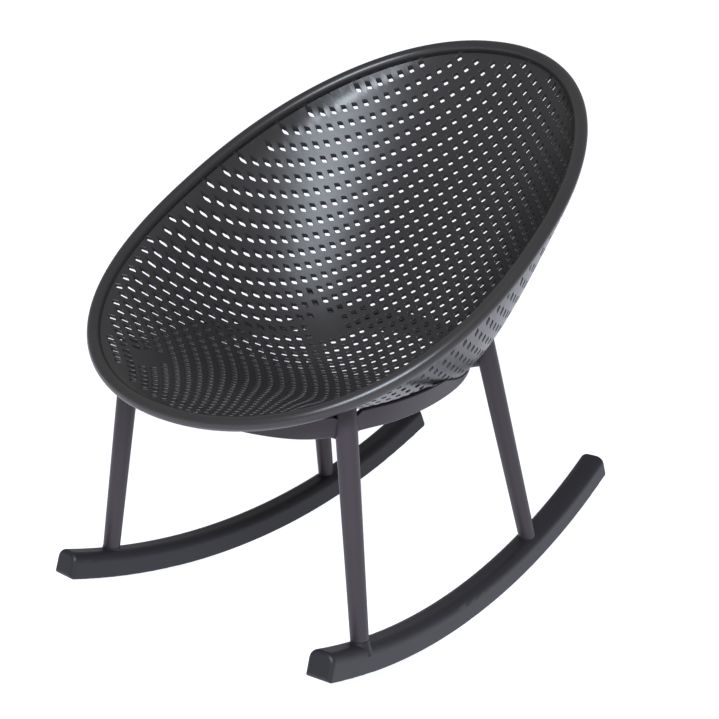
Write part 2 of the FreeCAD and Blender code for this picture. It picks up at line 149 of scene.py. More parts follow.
# Moulded plastic: base colour, roughness and shine, then its grain and unevenness
SHELL_LOOK = ((0.0205, 0.0178, 0.0178), 0.33, 0.5)
FRAME_LOOK = ((0.033, 0.025, 0.030), 0.42, 0.30)
ROCKER_LOOK = ((0.014, 0.013, 0.016), 0.46, 0.32)
GRAIN_SIZE, GRAIN_DETAIL = 900.0, 3.0
GRAIN_STRENGTH, GRAIN_DEPTH = 0.15, 0.0002
MOTTLE_SIZE, MOTTLE_DETAIL = 9.0, 4.0
MOTTLE_TONE, MOTTLE_ROUGHNESS = 0.10, 0.04
STEEL_LOOK = ((0.62, 0.62, 0.63), 0.35)
BRASS_LOOK = ((0.72, 0.56, 0.30), 0.35)

# Studio: a glowing floor, a dim surround and one soft box in front
FLOOR_HALF = 60.0
FLOOR_TONE = 0.35
FLOOR_GLOW, FLOOR_GLOW_STRENGTH = (1.0, 1.03, 1.15), 0.92
SURROUND_STRENGTH = 0.36
FRONT_BOX_PLACE = (1.55, -1.92, 2.28)
FRONT_BOX_AIM = (-0.2, 0.2, 0.65)
FRONT_BOX_SIZE = (1.9, 0.70)
FRONT_BOX_POWER = 138.0
FRONT_BOX_COLOUR = (0.82, 0.90, 1.0)

# Camera in the drawn pose; its focal length is in image widths
CAMERA_PLACE = Vector((1.6596, -1.9957, 1.2013))
CAMERA_YAW = 0.6758109
CAMERA_PITCH = -0.3012282
CAMERA_ROLL = 0.0166779
FOCAL_LENGTH = 1691.98 / 719.0
SENSOR_WIDTH = 36.0

UP = Vector((0.0, 0.0, 1.0))


def rest_matrix():
    """From the drawn pose to the place where the empty chair stands."""
    pivot = Matrix.Translation(Vector((0.0, DRAWN_ARC_Y, ROCKER_ARC_RADIUS)))
    flat = REST_FLAT * REST_FLAT / (8.0 * ROCKER_ARC_RADIUS)
    down = Matrix.Translation(Vector((0.0, -ORIGIN_Y, -flat)))
    return down @ pivot @ Matrix.Rotation(-REST_LEAN, 4, "X") @ pivot.inverted()


def drawn_rim_matrix():
    """From the rim plane's own coordinates to the drawn pose."""
    return Matrix.Translation(RIM_CENTRE) @ Matrix.Rotation(RIM_SLOPE, 4, "X")


def signed_power(value, power):
    return math.copysign(abs(value) ** power, value)


def rim_point(turn):
    """A point of the rim's middle line at a turn counted from the front."""
    share = -signed_power(math.cos(turn), 2.0 / RIM_LENGTH_POWER)
    across = signed_power(math.sin(turn), 2.0 / RIM_WIDTH_POWER)
    width = RIM_HALF_WIDTH * (1.0 + RIM_TAPER * share)
    return Vector((width * across, RIM_HALF_LENGTH * share, 0.0))


class Spline:
    """A smooth curve of values through given places, straight at both ends."""

    def __init__(self, places, values):
        self.places = list(places)
        self.values = list(values)
        count = len(self.places)
        bend = [0.0] * count
        share = [0.0] * count
        for i in range(1, count - 1):
            before = self.places[i] - self.places[i - 1]
            after = self.places[i + 1] - self.places[i]
            slope_after = (self.values[i + 1] - self.values[i]) / after
            slope_before = (self.values[i] - self.values[i - 1]) / before
            pivot = 2.0 * (before + after) - before * share[i - 1]
            share[i] = after / pivot
            bend[i] = (6.0 * (slope_after - slope_before) - before * bend[i - 1]) / pivot
        for i in range(count - 2, 0, -1):
            bend[i] -= share[i] * bend[i + 1]
        self.bend = bend

    def __call__(self, place):
        i = 0
        while i < len(self.places) - 2 and place > self.places[i + 1]:
            i += 1
        width = self.places[i + 1] - self.places[i]
        b = (place - self.places[i]) / width
        a = 1.0 - b
        bent = (a ** 3 - a) * self.bend[i] + (b ** 3 - b) * self.bend[i + 1]
        return a * self.values[i] + b * self.values[i + 1] + bent * width * width / 6.0


MIDDLE_DEPTH = Spline([share * RIM_HALF_LENGTH for share, depth in BOWL_DEPTHS],
                      [depth for share, depth in BOWL_DEPTHS])


def bowl_half_width(v):
    share = max(-1.0, min(1.0, v / RIM_HALF_LENGTH))
    cosine = abs(share) ** (RIM_LENGTH_POWER / 2.0)
    sine = math.sqrt(max(0.0, 1.0 - cosine * cosine))
    return BOWL_HALF_WIDTH * sine ** (2.0 / RIM_WIDTH_POWER) * (1.0 + BOWL_TAPER * share)


def bowl_height(u, v):
    share = v / RIM_HALF_LENGTH
    power = BOWL_POWER + BOWL_POWER_SLOPE * share + BOWL_POWER_BEND * share * share
    reach = min(1.0, abs(u) / max(bowl_half_width(v), 1e-9))
    return -MIDDLE_DEPTH(v) * (1.0 - reach ** power)


def bowl_normal(u, v):
    """Outward direction, away from the sitter."""
    step = SLOPE_STEP
    slope_u = (bowl_height(u + step, v) - bowl_height(u - step, v)) / (2.0 * step)
    slope_v = (bowl_height(u, v + step) - bowl_height(u, v - step)) / (2.0 * step)
    return Vector((slope_u, slope_v, -1.0)).normalized()


def lip_share(edge):
    """How far from the bowl's middle to the rim the formula holds, before the wall flares out."""
    low, high = 0.5, 1.0 - BOWL_LIP / (edge - BOWL_MIDDLE).length
    for step in range(LIP_STEPS):
        share = 0.5 * (low + high)
        place = BOWL_MIDDLE.lerp(edge, share)
        if abs(place.x) < bowl_half_width(place.y) * BOWL_EDGE_SHARE:
            low = share
        else:
            high = share
    return low


def bowl_profile(turn):
    """Points of the seating face from the bowl's middle out to past the rim, at one turn."""
    edge = rim_point(turn)
    reach = lip_share(edge)
    knots = [reach * math.sin(0.5 * math.pi * i / BOWL_KNOTS) for i in range(BOWL_KNOTS + 1)]
    heights = []
    for share in knots:
        place = BOWL_MIDDLE.lerp(edge, share)
        heights.append(bowl_height(place.x, place.y))
    line = Spline(knots + [1.0], heights + [0.0])
    points = []
    for i in range(BOWL_SAMPLES + 1):
        share = BOWL_OVERRUN * math.sin(0.5 * math.pi * i / BOWL_SAMPLES)
        place = BOWL_MIDDLE.lerp(edge, share)
        points.append((place.x, place.y, line(min(share, 1.0))))
    return points


def mesh_object(name, vertices, faces):
    mesh = bpy.data.meshes.new(name)
    mesh.from_pydata([tuple(v) for v in vertices], [], faces)
    mesh.update()
    return in_scene(name, mesh)


def in_scene(name, data):
    made = bpy.data.objects.new(name, data)
    bpy.context.scene.collection.objects.link(made)
    return made


def grid_faces(rows, columns):
    """Four-sided faces between rows of vertices, with the last row joined to the first."""
    faces = []
    for row in range(rows):
        after = (row + 1) % rows
        for column in range(columns - 1):
            a, b = row * columns + column, after * columns + column
            faces.append((a, a + 1, b + 1, b))
    return faces


def bowl_surface():
    """The seating face alone, which the flat sheet of diamonds is dropped onto."""
    vertices = []
    for row in range(BOWL_TURNS):
        vertices += bowl_profile(2.0 * math.pi * row / BOWL_TURNS)
    made = mesh_object("bowl_surface", vertices, grid_faces(BOWL_TURNS, BOWL_SAMPLES + 1))
    made.data.shade_smooth()
    return made


def rounded_diamond(size, corner):
    """A diamond of twelve points: each corner's tip and the two ends of its arc."""
    points = []
    for quarter in range(4):
        turn = 0.5 * math.pi * quarter
        cosine, sine = math.cos(turn), math.sin(turn)
        for share, reach in ((0.0, 1.0 - ROUND_TIP * corner), (corner, 1.0), (1.0 - corner, 1.0)):
            x, y = size * reach * (1.0 - share), size * reach * share
            points.append((x * cosine - y * sine, x * sine + y * cosine))
    return points


def cell_outline():
    """One diamond of the lattice, with sharp tips that meet the next ones."""
    outline = rounded_diamond(0.5, CELL_CORNER)
    for quarter, tip in enumerate(((0.5, 0.0), (0.0, 0.5), (-0.5, 0.0), (0.0, -0.5))):
        outline[3 * quarter] = tip
    return outline


def open_cell_rings():
    """Rings of a diamond with an opening: points, share of the wall, 1 where sized as the hole."""
    outline = cell_outline()
    wide = rounded_diamond(0.5 + 2.0 * HOLE_CHAMFER / HOLE_WIDTH, HOLE_CORNER)
    tight = rounded_diamond(0.5, HOLE_CORNER)
    return [(outline, 0.0, 0.0), (wide, 0.0, 1.0), (tight, HOLE_CHAMFER / SHELL_WALL, 1.0),
            (tight, 1.0, 1.0), (outline, 1.0, 0.0)]


def plain_cell_rings():
    """Rings of a closed diamond, on the seating face and on the outer face."""
    outline = cell_outline()
    half = [(0.5 * x, 0.5 * y) for x, y in outline]
    return [(outline, 0.0, 0.0), (half, 0.0, 0.0), (half, 1.0, 0.0), (outline, 1.0, 0.0)]


def cell(name, rings, sharp_rings=(), middle_rings=()):
    """One diamond of the sheet. 'level' is its share of the wall, and 'metric' its kind of size.

    Middle rings are the two innermost of a plain diamond: not joined, each closed to a point.
    """
    count = len(rings[0][0])
    vertices = [(x, y, 0.0) for ring, level, metric in rings for x, y in ring]
    levels = [level for ring, level, metric in rings for point in ring]
    metrics = [metric for ring, level, metric in rings for point in ring]
    faces = []
    for ring in range(len(rings) - 1):
        if ring in middle_rings[:1]:
            continue
        for i in range(count):
            j = (i + 1) % count
            a, b = ring * count, (ring + 1) * count
            faces.append((a + i, a + j, b + j, b + i))
    for ring in middle_rings:
        level = rings[ring][1]
        middle = len(vertices)
        vertices.append((0.0, 0.0, 0.0))
        levels.append(level)
        metrics.append(0.0)
        for i in range(0, count, 2):
            face = [ring * count + (i + k) % count for k in range(3)] + [middle]
            faces.append(tuple(reversed(face)) if level else tuple(face))
    made = mesh_object(name, vertices, faces)
    mesh = made.data
    mesh.attributes.new("level", "FLOAT", "POINT").data.foreach_set("value", levels)
    mesh.attributes.new("metric", "FLOAT", "POINT").data.foreach_set("value", metrics)
    sharp = mesh.attributes.new("sharp_edge", "BOOLEAN", "EDGE")
    for edge in mesh.edges:
        rows = {vertex // count for vertex in edge.vertices}
        sharp.data[edge.index].value = len(rows) == 1 and rows.pop() in sharp_rings
    mesh.shade_smooth()
    return made


class Tree:
    """Builds a node tree: each input is given as a plain value or as another node's socket."""

    def __init__(self, name):
        self.tree = bpy.data.node_groups.new(name, "GeometryNodeTree")
        self.tree.interface.new_socket("Geometry", in_out="OUTPUT",
                                       socket_type="NodeSocketGeometry")
        self.inputs = {}

    def add(self, kind, values=None, **settings):
        node = self.tree.nodes.new(kind)
        for key, value in settings.items():
            setattr(node, key, value)
        for key, value in (values or {}).items():
            self.give(node.inputs[key], value)
        return node

    def give(self, socket, value):
        if isinstance(value, bpy.types.NodeSocket):
            self.tree.links.new(value, socket)
        else:
            socket.default_value = value

    def input(self, name, kind, value=None):
        socket = self.tree.interface.new_socket(name, in_out="INPUT", socket_type=kind)
        if value is not None:
            socket.default_value = value
        self.inputs[name] = socket.identifier

    def math(self, operation, *values):
        node = self.add("ShaderNodeMath", operation=operation)
        for socket, value in zip(node.inputs, values):
            self.give(socket, value)
        return node.outputs[0]

    def vector(self, operation, *values):
        node = self.add("ShaderNodeVectorMath", operation=operation)
        for socket, value in zip(node.inputs, values):
            self.give(socket, value)
        return node.outputs[0]

    def combine(self, x, y, z):
        return self.add("ShaderNodeCombineXYZ", {"X": x, "Y": y, "Z": z}).outputs[0]

    def parts(self, vector):
        return self.add("ShaderNodeSeparateXYZ", {"Vector": vector}).outputs[:3]

    def polynomial(self, x, terms):
        total = terms[-1]
        for term in reversed(terms[:-1]):
            total = self.math("MULTIPLY_ADD", x, total, term)
        return total

    def position(self):
        return self.add("GeometryNodeInputPosition").outputs[0]

    def attribute(self, name, kind="FLOAT"):
        node = self.add("GeometryNodeInputNamedAttribute", {"Name": name}, data_type=kind)
        return node.outputs[0]

    def moved(self, geometry, position):
        node = self.add("GeometryNodeSetPosition", {"Geometry": geometry, "Position": position})
        return node.outputs[0]

    def without(self, geometry, selection, **settings):
        node = self.add("GeometryNodeDeleteGeometry",
                        {"Geometry": geometry, "Selection": selection}, **settings)
        return node.outputs[0]


def place_on_fan(tree, across, row):
    """From lattice steps to the rim plane."""
    u = tree.math("MULTIPLY", across, tree.polynomial(row, HOLE_PITCH))
    bow = tree.math("MULTIPLY", tree.math("MULTIPLY", across, across), HOLE_ROW_BOW)
    v = tree.math("ADD", tree.polynomial(row, HOLE_ROWS), bow)
    return u, v


def share_of_rim(tree, u, v):
    """Below 1 inside the rim's middle line, and above 1 outside."""
    along = tree.math("DIVIDE", v, RIM_HALF_LENGTH)
    width = tree.math("MULTIPLY_ADD", along, RIM_HALF_WIDTH * RIM_TAPER, RIM_HALF_WIDTH)
    across = tree.math("DIVIDE", tree.math("ABSOLUTE", u), width)
    return tree.math("ADD", tree.math("POWER", across, RIM_WIDTH_POWER),
                     tree.math("POWER", tree.math("ABSOLUTE", along), RIM_LENGTH_POWER))


def clear_of_pad(tree, u, v, pad, radius):
    away = tree.combine(tree.math("SUBTRACT", tree.math("ABSOLUTE", u), pad[0]),
                        tree.math("SUBTRACT", v, pad[1]), 0.0)
    length = tree.add("ShaderNodeVectorMath", {0: away}, operation="LENGTH").outputs["Value"]
    return tree.math("GREATER_THAN", length, radius)


def lattice_points(tree):
    """Points in steps across and rows, with every second row half a step aside."""
    rows = int(2 * (HOLE_LAST_ROW - HOLE_FIRST_ROW))
    columns = 2 * HOLE_MOST_ACROSS
    grid = tree.add("GeometryNodeMeshGrid", {
        "Size X": float(columns), "Size Y": float(rows),
        "Vertices X": columns + 1, "Vertices Y": rows + 1})
    x, y = tree.parts(tree.position())[:2]
    row = tree.math("MULTIPLY_ADD", y, 0.5, 0.5 * (HOLE_FIRST_ROW + HOLE_LAST_ROW))
    between = tree.math("ROUND", tree.math("FRACT", tree.math("ADD", row, 0.25)))
    across = tree.math("ADD", x, tree.math("MULTIPLY", between, 0.5))
    return tree.moved(grid.outputs[0], tree.combine(across, row, 0.0))


def opening_chosen(tree, given, u, v, share):
    """1 where a diamond has an opening: inside the rim's plain margin and clear of the pads."""
    ahead = tree.math("MINIMUM", tree.math("SUBTRACT", v, HOLE_FRONT_FROM), 0.0)
    blank_front = tree.math("MULTIPLY", ahead, HOLE_FRONT_MARGIN)
    most = tree.math("ADD", given["Openings up to"], blank_front)
    chosen = tree.math("LESS_THAN", share, most)
    for pad in (REAR_PAD, FRONT_PAD):
        clear = clear_of_pad(tree, u, v, pad, given["Blank radius"])
        chosen = tree.math("MULTIPLY", chosen, clear)
    return chosen


def laid_diamonds(tree, given):
    """Open and plain diamonds on the lattice, still in lattice steps, each with its own place."""
    points = lattice_points(tree)
    x, y = tree.parts(tree.position())[:2]
    u, v = place_on_fan(tree, x, y)
    share = share_of_rim(tree, u, v)
    near = tree.without(points, tree.math("GREATER_THAN", share, LAY_SHARE))
    placed = tree.add("GeometryNodeStoreNamedAttribute", {
        "Geometry": near, "Name": "place", "Value": tree.position()}, data_type="FLOAT_VECTOR")
    chosen = opening_chosen(tree, given, u, v, share)
    join = tree.add("GeometryNodeJoinGeometry")
    kinds = (("Plain diamond", tree.math("SUBTRACT", 1.0, chosen)), ("Open diamond", chosen))
    for name, selection in kinds:
        diamond = tree.add("GeometryNodeObjectInfo", {"Object": given[name]})
        laid = tree.add("GeometryNodeInstanceOnPoints", {
            "Points": placed.outputs[0], "Selection": selection,
            "Instance": diamond.outputs["Geometry"]})
        tree.tree.links.new(laid.outputs[0], join.inputs[0])
    return tree.add("GeometryNodeRealizeInstances", {"Geometry": join.outputs[0]}).outputs[0]


def spread_on_fan(tree, given, diamonds):
    """The lattice follows the fan, while the openings keep their own size."""
    here = tree.position()
    middle = tree.attribute("place", "FLOAT_VECTOR")
    metric = tree.attribute("metric")
    local = tree.vector("SUBTRACT", here, middle)
    spot = tree.add("ShaderNodeMix", data_type="VECTOR")
    tree.give(spot.inputs["Factor"], metric)
    tree.give(spot.inputs[4], here)
    tree.give(spot.inputs[5], middle)
    x, y = tree.parts(spot.outputs[1])[:2]
    u, v = place_on_fan(tree, x, y)
    size = tree.combine(given["Opening width"], given["Opening height"], 0.0)
    offset = tree.vector("MULTIPLY", tree.vector("MULTIPLY", local, size),
                         tree.combine(metric, metric, 0.0))
    return tree.moved(diamonds, tree.vector("ADD", tree.combine(u, v, 0.0), offset))


def trimmed_at_rim(tree, flat):
    """Faces past the rim go, and what stands out a little is pulled in to the bead's middle."""
    here = tree.position()
    u, v = tree.parts(here)[:2]
    share = share_of_rim(tree, u, v)
    inside = tree.without(flat, tree.math("GREATER_THAN", share, CUT_SHARE), domain="FACE")
    pull = tree.math("POWER", tree.math("MAXIMUM", share, 1.0), -1.0 / PULL_POWER)
    return tree.moved(inside, tree.vector("MULTIPLY", here, tree.combine(pull, pull, 0.0)))


def dropped_on_bowl(tree, given, flat):
    """Each point falls along the mould's way onto the bowl, deeper by its share of the wall."""
    bowl = tree.add("GeometryNodeObjectInfo", {"Object": given["Bowl"]})
    start = tree.vector("ADD", tree.position(), (0.0, 0.0, DROP_FROM))
    hit = tree.add("GeometryNodeRaycast", {
        "Target Geometry": bowl.outputs["Geometry"], "Source Position": start,
        "Ray Direction": (0.0, 0.0, -1.0), "Ray Length": DROP_LENGTH})
    facing = tree.math("ABSOLUTE", tree.parts(hit.outputs["Hit Normal"])[2])
    steep = tree.math("MAXIMUM", facing, STEEPEST_WALL)
    level = tree.math("MULTIPLY", tree.attribute("level"), given["Wall"])
    depth = tree.combine(0.0, 0.0, tree.math("DIVIDE", level, steep))
    return tree.moved(flat, tree.vector("SUBTRACT", hit.outputs["Hit Position"], depth))


def perforated_tree():
    """Diamonds on a staggered lattice, spread on the fan, trimmed and dropped onto the bowl."""
    tree = Tree("perforated_sheet")
    tree.input("Bowl", "NodeSocketObject")
    tree.input("Open diamond", "NodeSocketObject")
    tree.input("Plain diamond", "NodeSocketObject")
    tree.input("Material", "NodeSocketMaterial")
    tree.input("Wall", "NodeSocketFloat", SHELL_WALL)
    tree.input("Opening width", "NodeSocketFloat", HOLE_WIDTH)
    tree.input("Opening height", "NodeSocketFloat", HOLE_HEIGHT)
    tree.input("Openings up to", "NodeSocketFloat", HOLE_RIM_SHARE)
    tree.input("Blank radius", "NodeSocketFloat", BLANK_RADIUS)
    given = tree.add("NodeGroupInput").outputs

    flat = trimmed_at_rim(tree, spread_on_fan(tree, given, laid_diamonds(tree, given)))
    dropped = dropped_on_bowl(tree, given, flat)
    merged = tree.add("GeometryNodeMergeByDistance",
                      {"Geometry": dropped, "Distance": MERGE_DISTANCE})
    solid = tree.add("GeometryNodeRealizeInstances", {"Geometry": merged.outputs[0]})
    painted = tree.add("GeometryNodeSetMaterial",
                       {"Geometry": solid.outputs[0], "Material": given["Material"]})
    tree.tree.links.new(painted.outputs[0], tree.add("NodeGroupOutput").inputs[0])
    return tree


def perforated_sheet(material):
    """Runs the tree on an empty mesh and returns its result as a plain mesh."""
    tree = perforated_tree()
    helpers = {
        "Bowl": bowl_surface(),
        "Open diamond": cell("open_diamond", open_cell_rings(), sharp_rings=(1, 3)),
        "Plain diamond": cell("plain_diamond", plain_cell_rings(), middle_rings=(1, 2)),
    }
    sheet = mesh_object("sheet_source", [], [])
    modifier = sheet.modifiers.new("perforated", "NODES")
    modifier.node_group = tree.tree
    for name, helper in helpers.items():
        modifier[tree.inputs[name]] = helper
    modifier[tree.inputs["Material"]] = material
    bpy.context.view_layer.update()
    graph = bpy.context.evaluated_depsgraph_get()
    mesh = bpy.data.meshes.new_from_object(sheet.evaluated_get(graph))
    for helper in list(helpers.values()) + [sheet]:
        bpy.data.objects.remove(helper)
    return mesh


def bead_mesh(material):
    """The round rim, swept along the superellipse."""
    vertices = []
    for station in range(BEAD_STATIONS):
        turn = 2.0 * math.pi * station / BEAD_STATIONS
        centre = rim_point(turn)
        along = (rim_point(turn + TURN_STEP) - rim_point(turn - TURN_STEP)).normalized()
        out = Vector((along.y, -along.x, 0.0))
        for point in range(BEAD_POINTS + 1):
            angle = 2.0 * math.pi * (point % BEAD_POINTS) / BEAD_POINTS
            vertices.append(centre + out * (BEAD_RADIUS * math.cos(angle))
                            + UP * (BEAD_RADIUS * math.sin(angle)))
    mesh = bpy.data.meshes.new("bead")
    mesh.from_pydata([tuple(v) for v in vertices], [],
                     grid_faces(BEAD_STATIONS, BEAD_POINTS + 1))
    mesh.materials.append(material)
    return mesh


def boss_mesh(pad, side):
    """A screw boss on the shell's outer face."""
    u, v = side * pad[0], pad[1]
    out = bowl_normal(u, v)
    start = Vector((u, v, bowl_height(u, v))) + out * (0.5 * SHELL_WALL)
    length = BOSS_HEIGHT + 0.5 * SHELL_WALL
    turn = out.to_track_quat("Z", "Y").to_matrix().to_4x4()
    middle = Matrix.Translation(start + out * (0.5 * length))
    made = bmesh.new()
    bmesh.ops.create_cone(made, cap_ends=True, segments=ROUND_POINTS, radius1=BOSS_RADIUS,
                          radius2=BOSS_RADIUS, depth=length, matrix=middle @ turn)
    mesh = bpy.data.meshes.new("boss")
    made.to_mesh(mesh)
    made.free()
    return mesh


def seat_shell(material):
    """Perforated wall, rim and bosses as one moulding."""
    joined = bmesh.new()
    joined.from_mesh(perforated_sheet(material))
    joined.from_mesh(bead_mesh(material))
    for pad in (REAR_PAD, FRONT_PAD):
        for side in (-1, 1):
            joined.from_mesh(boss_mesh(pad, side))
    bmesh.ops.transform(joined, matrix=rest_matrix() @ drawn_rim_matrix(), verts=joined.verts)
    mesh = bpy.data.meshes.new("shell_moulding")
    joined.to_mesh(mesh)
    joined.free()
    made = in_scene("shell_moulding", mesh)
    dress(made, material)
    mesh.shade_smooth()
    return made


def room_below(place):
    """Clear distance from a place of the drawn pose up to the shell's outer face."""
    local = drawn_rim_matrix().inverted() @ place
    facing = abs(bowl_normal(local.x, local.y).z)
    return (bowl_height(local.x, local.y) - local.z) * facing - SHELL_WALL - SHELL_GAP


def reach_to_shell(start, direction, most):
    """How far a line can go before it meets the shell's outer face."""
    for step in range(1, REACH_STEPS + 1):
        if room_below(start + direction * (most * step / REACH_STEPS)) <= 0.0:
            return most * (step - 1) / REACH_STEPS
    return most


def add_rings(made, rings, closed=False):
    """Joins rings of equal count with faces. Open rows get a cap at both ends."""
    rows = [[made.verts.new(point) for point in ring] for ring in rings]
    count = len(rows[0])
    for row in range(len(rows) if closed else len(rows) - 1):
        after = (row + 1) % len(rows)
        for i in range(count):
            j = (i + 1) % count
            made.faces.new((rows[row][i], rows[row][j], rows[after][j], rows[after][i]))
    if not closed:
        made.faces.new(rows[-1])
        made.faces.new(list(reversed(rows[0])))


def circle(centre, axis, radius):
    side = axis.cross(Vector((0.0, 1.0, 0.0))).normalized()
    other = axis.cross(side)
    turns = [2.0 * math.pi * i / ROUND_POINTS for i in range(ROUND_POINTS)]
    return [centre + (side * math.cos(turn) + other * math.sin(turn)) * radius for turn in turns]


def add_leg(made, foot, shoulder):
    """A tapered leg with its socket and insert bore below, and its top shaped to the shell."""
    axis = (shoulder - foot).normalized()
    length = (shoulder - foot).length
    bore = foot + axis * SPIGOT_HEIGHT
    rings = [
        circle(bore + axis * INSERT_LENGTH, axis, INSERT_RADIUS),
        circle(bore, axis, INSERT_RADIUS),
        circle(bore, axis, SPIGOT_RADIUS),
        circle(foot, axis, SPIGOT_RADIUS),
        circle(foot, axis, LEG_FOOT_RADIUS - EDGE_BEVEL),
        circle(foot + axis * EDGE_BEVEL, axis, LEG_FOOT_RADIUS),
    ]
    for step in range(1, LEG_STEPS + 1):
        share = step / LEG_STEPS
        radius = LEG_FOOT_RADIUS + (LEG_TOP_RADIUS - LEG_FOOT_RADIUS) * share
        rings.append(circle(foot + axis * (length * share), axis, radius))
    rings.append([point + axis * reach_to_shell(point, axis, LEG_OVERRUN)
                  for point in circle(shoulder, axis, LEG_TOP_RADIUS)])
    add_rings(made, rings)


def hoop_stations():
    """The hoop's middle line as a closed smooth curve: place and outward direction."""
    right = [Vector((x, y, 0.0)) for x, y in HOOP_POINTS]
    ring = right + [Vector((-p.x, p.y, 0.0)) for p in reversed(right[1:-1])]
    size = len(ring)
    stations = []
    for index in range(HOOP_STATIONS):
        place = size * index / HOOP_STATIONS
        i = int(place)
        t = place - i
        a, b, c, d = (ring[(i + k) % size] for k in (-1, 0, 1, 2))
        second = 2.0 * a - 5.0 * b + 4.0 * c - d
        third = 3.0 * b - a - 3.0 * c + d
        middle = 0.5 * (2.0 * b + (c - a) * t + second * t * t + third * t ** 3)
        along = (c - a) + second * 2.0 * t + third * 3.0 * t * t
        stations.append((middle, Vector((along.y, -along.x, 0.0)).normalized()))
    return stations


def smooth_step(low, high, value):
    share = max(0.0, min(1.0, (value - low) / (high - low)))
    return share * share * (3.0 - 2.0 * share)


def fillet_drop(place, legs):
    """How far the hoop's lower edge comes down beside a leg."""
    drop = 0.0
    for foot, shoulder in legs:
        axis = (shoulder - foot).normalized()
        centre = foot + axis * ((place.z - foot.z) / axis.z)
        away = HOOP_FILLET - max(0.0, (place - centre).length - LEG_TOP_RADIUS)
        if away > 0.0:
            drop = max(drop, HOOP_FILLET - math.sqrt(HOOP_FILLET ** 2 - away ** 2))
    return drop


def hoop_face(base, outward, lean, side):
    """One face of the band's section, from its lower edge up to the shell."""
    start = base + outward * (side * HOOP_HALF_WALL)
    height = reach_to_shell(start, lean, HOOP_HEIGHT)
    inward = outward * (side * HOOP_BEVEL)
    return [start - inward, start + lean * HOOP_BEVEL, start + lean * (0.5 * height),
            start + lean * (height - HOOP_BEVEL), start + lean * height - inward]


def add_hoop(made, legs):
    """The oval band: it leans out and comes up to the shell's outer face."""
    sections = []
    for middle, outward in hoop_stations():
        rise = HOOP_SIDE_RISE * smooth_step(HOOP_RISE_FROM, HOOP_RISE_TO, middle.y)
        base = Vector((middle.x, middle.y, HOOP_BOTTOM + rise))
        base.z -= fillet_drop(base, legs)
        lean = (UP + outward * HOOP_FLARE).normalized()
        outer = hoop_face(base, outward, lean, 1.0)
        inner = hoop_face(base, outward, lean, -1.0)
        sections.append(outer + list(reversed(inner)))
    add_rings(made, sections, closed=True)


def add_pad(made, pad, side, crown):
    """A pad under the shell's boss and the arm that carries it from the leg's crown."""
    u, v = side * pad[0], pad[1]
    facing = bowl_normal(u, v)
    boss_top = (Vector((u, v, bowl_height(u, v)))
                + facing * (SHELL_WALL_SOLID + BOSS_HEIGHT))
    out = drawn_rim_matrix().to_3x3() @ facing
    face = drawn_rim_matrix() @ boss_top
    low = face + out * PAD_THICKNESS
    add_rings(made, [
        circle(face, out, PAD_HOLE),
        circle(face, out, PAD_RADIUS - EDGE_BEVEL),
        circle(face + out * EDGE_BEVEL, out, PAD_RADIUS),
        circle(low - out * EDGE_BEVEL, out, PAD_RADIUS),
        circle(low, out, PAD_RADIUS - EDGE_BEVEL),
        circle(low, out, PAD_HOLE),
    ], closed=True)
    reach = face + out * (0.5 * PAD_THICKNESS) - crown
    way = reach.normalized()
    end = crown + way * (reach.length - PAD_RADIUS + ARM_OVERLAP)
    add_rings(made, [circle(crown, way, ARM_RADIUS), circle(end, way, ARM_RADIUS)])


def leg_frame(material):
    """Legs, hoop, arms and pads as one moulding, clear of the shell."""
    made = bmesh.new()
    legs = []
    for ends in (FRONT_LEG, REAR_LEG):
        for side in (1, -1):
            legs.append(tuple(Vector((side * end.x, end.y, end.z)) for end in ends))
    for foot, shoulder in legs:
        add_leg(made, foot, shoulder)
        side = 1 if foot.x > 0 else -1
        crown = shoulder + (shoulder - foot).normalized() * LEG_CROWN
        add_pad(made, FRONT_PAD if foot.y < 0 else REAR_PAD, side, crown)
    add_hoop(made, legs)
    bmesh.ops.recalc_face_normals(made, faces=made.faces)
    bmesh.ops.transform(made, matrix=rest_matrix(), verts=made.verts)
    mesh = bpy.data.meshes.new("frame_moulding")
    made.to_mesh(mesh)
    made.free()
    mesh.materials.append(material)
    mesh.set_sharp_from_angle(angle=SHARP_ANGLE)
    return in_scene("frame_moulding", mesh)


def shader(name):
    """A new material, its node tree and its surface node."""
    material = bpy.data.materials.new(name)
    material.use_nodes = True
    tree = material.node_tree
    return material, tree, tree.nodes["Principled BSDF"]


def noise(tree, place, size, detail):
    texture = tree.nodes.new("ShaderNodeTexNoise")
    texture.inputs["Scale"].default_value = size
    texture.inputs["Detail"].default_value = detail
    tree.links.new(place.outputs["Object"], texture.inputs["Vector"])
    return texture.outputs["Fac"]


def spread(tree, value, middle, half):
    """Turns a noise value into one that lies evenly about a middle."""
    node = tree.nodes.new("ShaderNodeMapRange")
    node.inputs["To Min"].default_value = middle - half
    node.inputs["To Max"].default_value = middle + half
    tree.links.new(value, node.inputs["Value"])
    return node.outputs["Result"]


